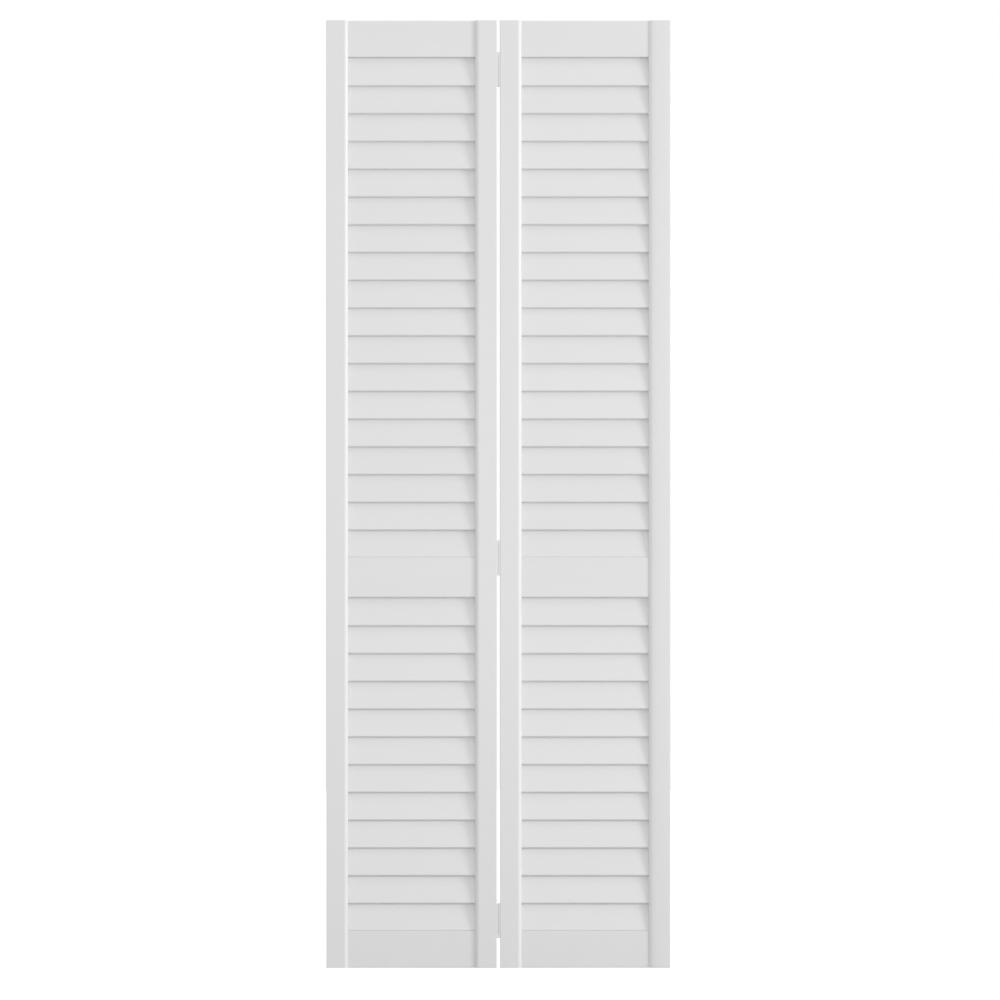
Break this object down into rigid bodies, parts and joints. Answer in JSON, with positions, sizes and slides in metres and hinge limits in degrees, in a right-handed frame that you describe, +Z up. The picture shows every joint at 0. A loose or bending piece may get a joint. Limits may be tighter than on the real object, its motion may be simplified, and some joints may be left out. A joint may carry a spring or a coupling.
{
  "type": "bifold closet door",
  "caption": "Louvred bifold closet door: hinged panels of fixed slats in stiles and rails, with a sprung top pivot, a sprung track guide and a threaded bottom pivot.",
  "frame": {"origin": "on the pivot axis, at the level of the door's bottom end: where the bottom pivot pin leaves the door", "axes": "+X along the closed door from the pivot side to the lead side, +Y towards the closet (the room side faces -Y), +Z up"},
  "size_m": [0.7264, 0.0377, 2],
  "materials": {
    "white_vinyl": "extruded white vinyl (PVC), satin",
    "fibreboard": "sawn medium-density fibreboard, bare",
    "dowel_beech": "turned beech, bare",
    "hinge_enamel": "steel, baked white enamel, satin",
    "white_nylon": "moulded natural nylon",
    "zinc_steel": "turned steel, bright zinc plated",
    "spring_steel": "drawn spring wire"
  },
  "bodies": {
    "pivot_panel": {"bottom_hinge_pin": "hinge_enamel", "bottom_hinge_pivot_leaf": "hinge_enamel", "bottom_pivot_bush": "white_nylon", "middle_hinge_pin": "hinge_enamel", "middle_hinge_pivot_leaf": "hinge_enamel", "pivot_bottom_rail": "white_vinyl", "pivot_hinge_core": "fibreboard", "pivot_hinge_screws": "hinge_enamel", "pivot_hinge_stile": "white_vinyl", "pivot_lower_slats": "white_vinyl", "pivot_middle_rail": "white_vinyl", "pivot_outer_core": "fibreboard", "pivot_outer_stile": "white_vinyl", "pivot_rail_cores": "fibreboard", "pivot_rail_dowels": "dowel_beech", "pivot_top_rail": "white_vinyl", "pivot_upper_slats": "white_vinyl", "top_hinge_pin": "hinge_enamel", "top_hinge_pivot_leaf": "hinge_enamel", "top_pivot_bush": "white_nylon", "top_pivot_spring": "spring_steel"},
    "lead_panel": {"bottom_hinge_lead_leaf": "hinge_enamel", "guide_bush": "white_nylon", "guide_spring": "spring_steel", "lead_bottom_rail": "white_vinyl", "lead_hinge_core": "fibreboard", "lead_hinge_screws": "hinge_enamel", "lead_hinge_stile": "white_vinyl", "lead_lower_slats": "white_vinyl", "lead_middle_rail": "white_vinyl", "lead_outer_core": "fibreboard", "lead_outer_stile": "white_vinyl", "lead_rail_cores": "fibreboard", "lead_rail_dowels": "dowel_beech", "lead_top_rail": "white_vinyl", "lead_upper_slats": "white_vinyl", "middle_hinge_lead_leaf": "hinge_enamel", "top_hinge_lead_leaf": "hinge_enamel"},
    "top_pin": {"top_pivot_pin": "zinc_steel"},
    "guide": {"guide_pin": "zinc_steel"},
    "guide_wheel": {"guide_roller": "white_nylon"},
    "bottom_pin": {"bottom_pivot_pin": "zinc_steel"}
  },
  "joints": [
    {"name": "fold", "type": "hinge", "parent": "pivot_panel", "child": "lead_panel", "pos_m": [0.347, 0.019, 0], "axis": [0, 0, 1], "range_deg": [0, 180]},
    {"name": "top_pivot_spring_slide", "type": "slide", "parent": "pivot_panel", "child": "top_pin", "axis": [0, 0, 1], "range_m": [0, 0.013], "stiffness_N_per_m": 135, "springref_m": 0.02, "deforming": ["top_pivot_spring"]},
    {"name": "guide_spring_slide", "type": "slide", "parent": "lead_panel", "child": "guide", "axis": [0, 0, 1], "range_m": [0, 0.013], "stiffness_N_per_m": 135, "springref_m": 0.02, "deforming": ["guide_spring"]},
    {"name": "guide_wheel_spin", "type": "hinge", "parent": "guide", "child": "guide_wheel", "pos_m": [0.694, 0, 1.9956], "axis": [0, 0, 1], "continuous": true},
    {"name": "bottom_pivot_adjust", "type": "slide", "parent": "pivot_panel", "child": "bottom_pin", "axis": [0, 0, -1], "range_m": [0, 0.012]}
  ]
}
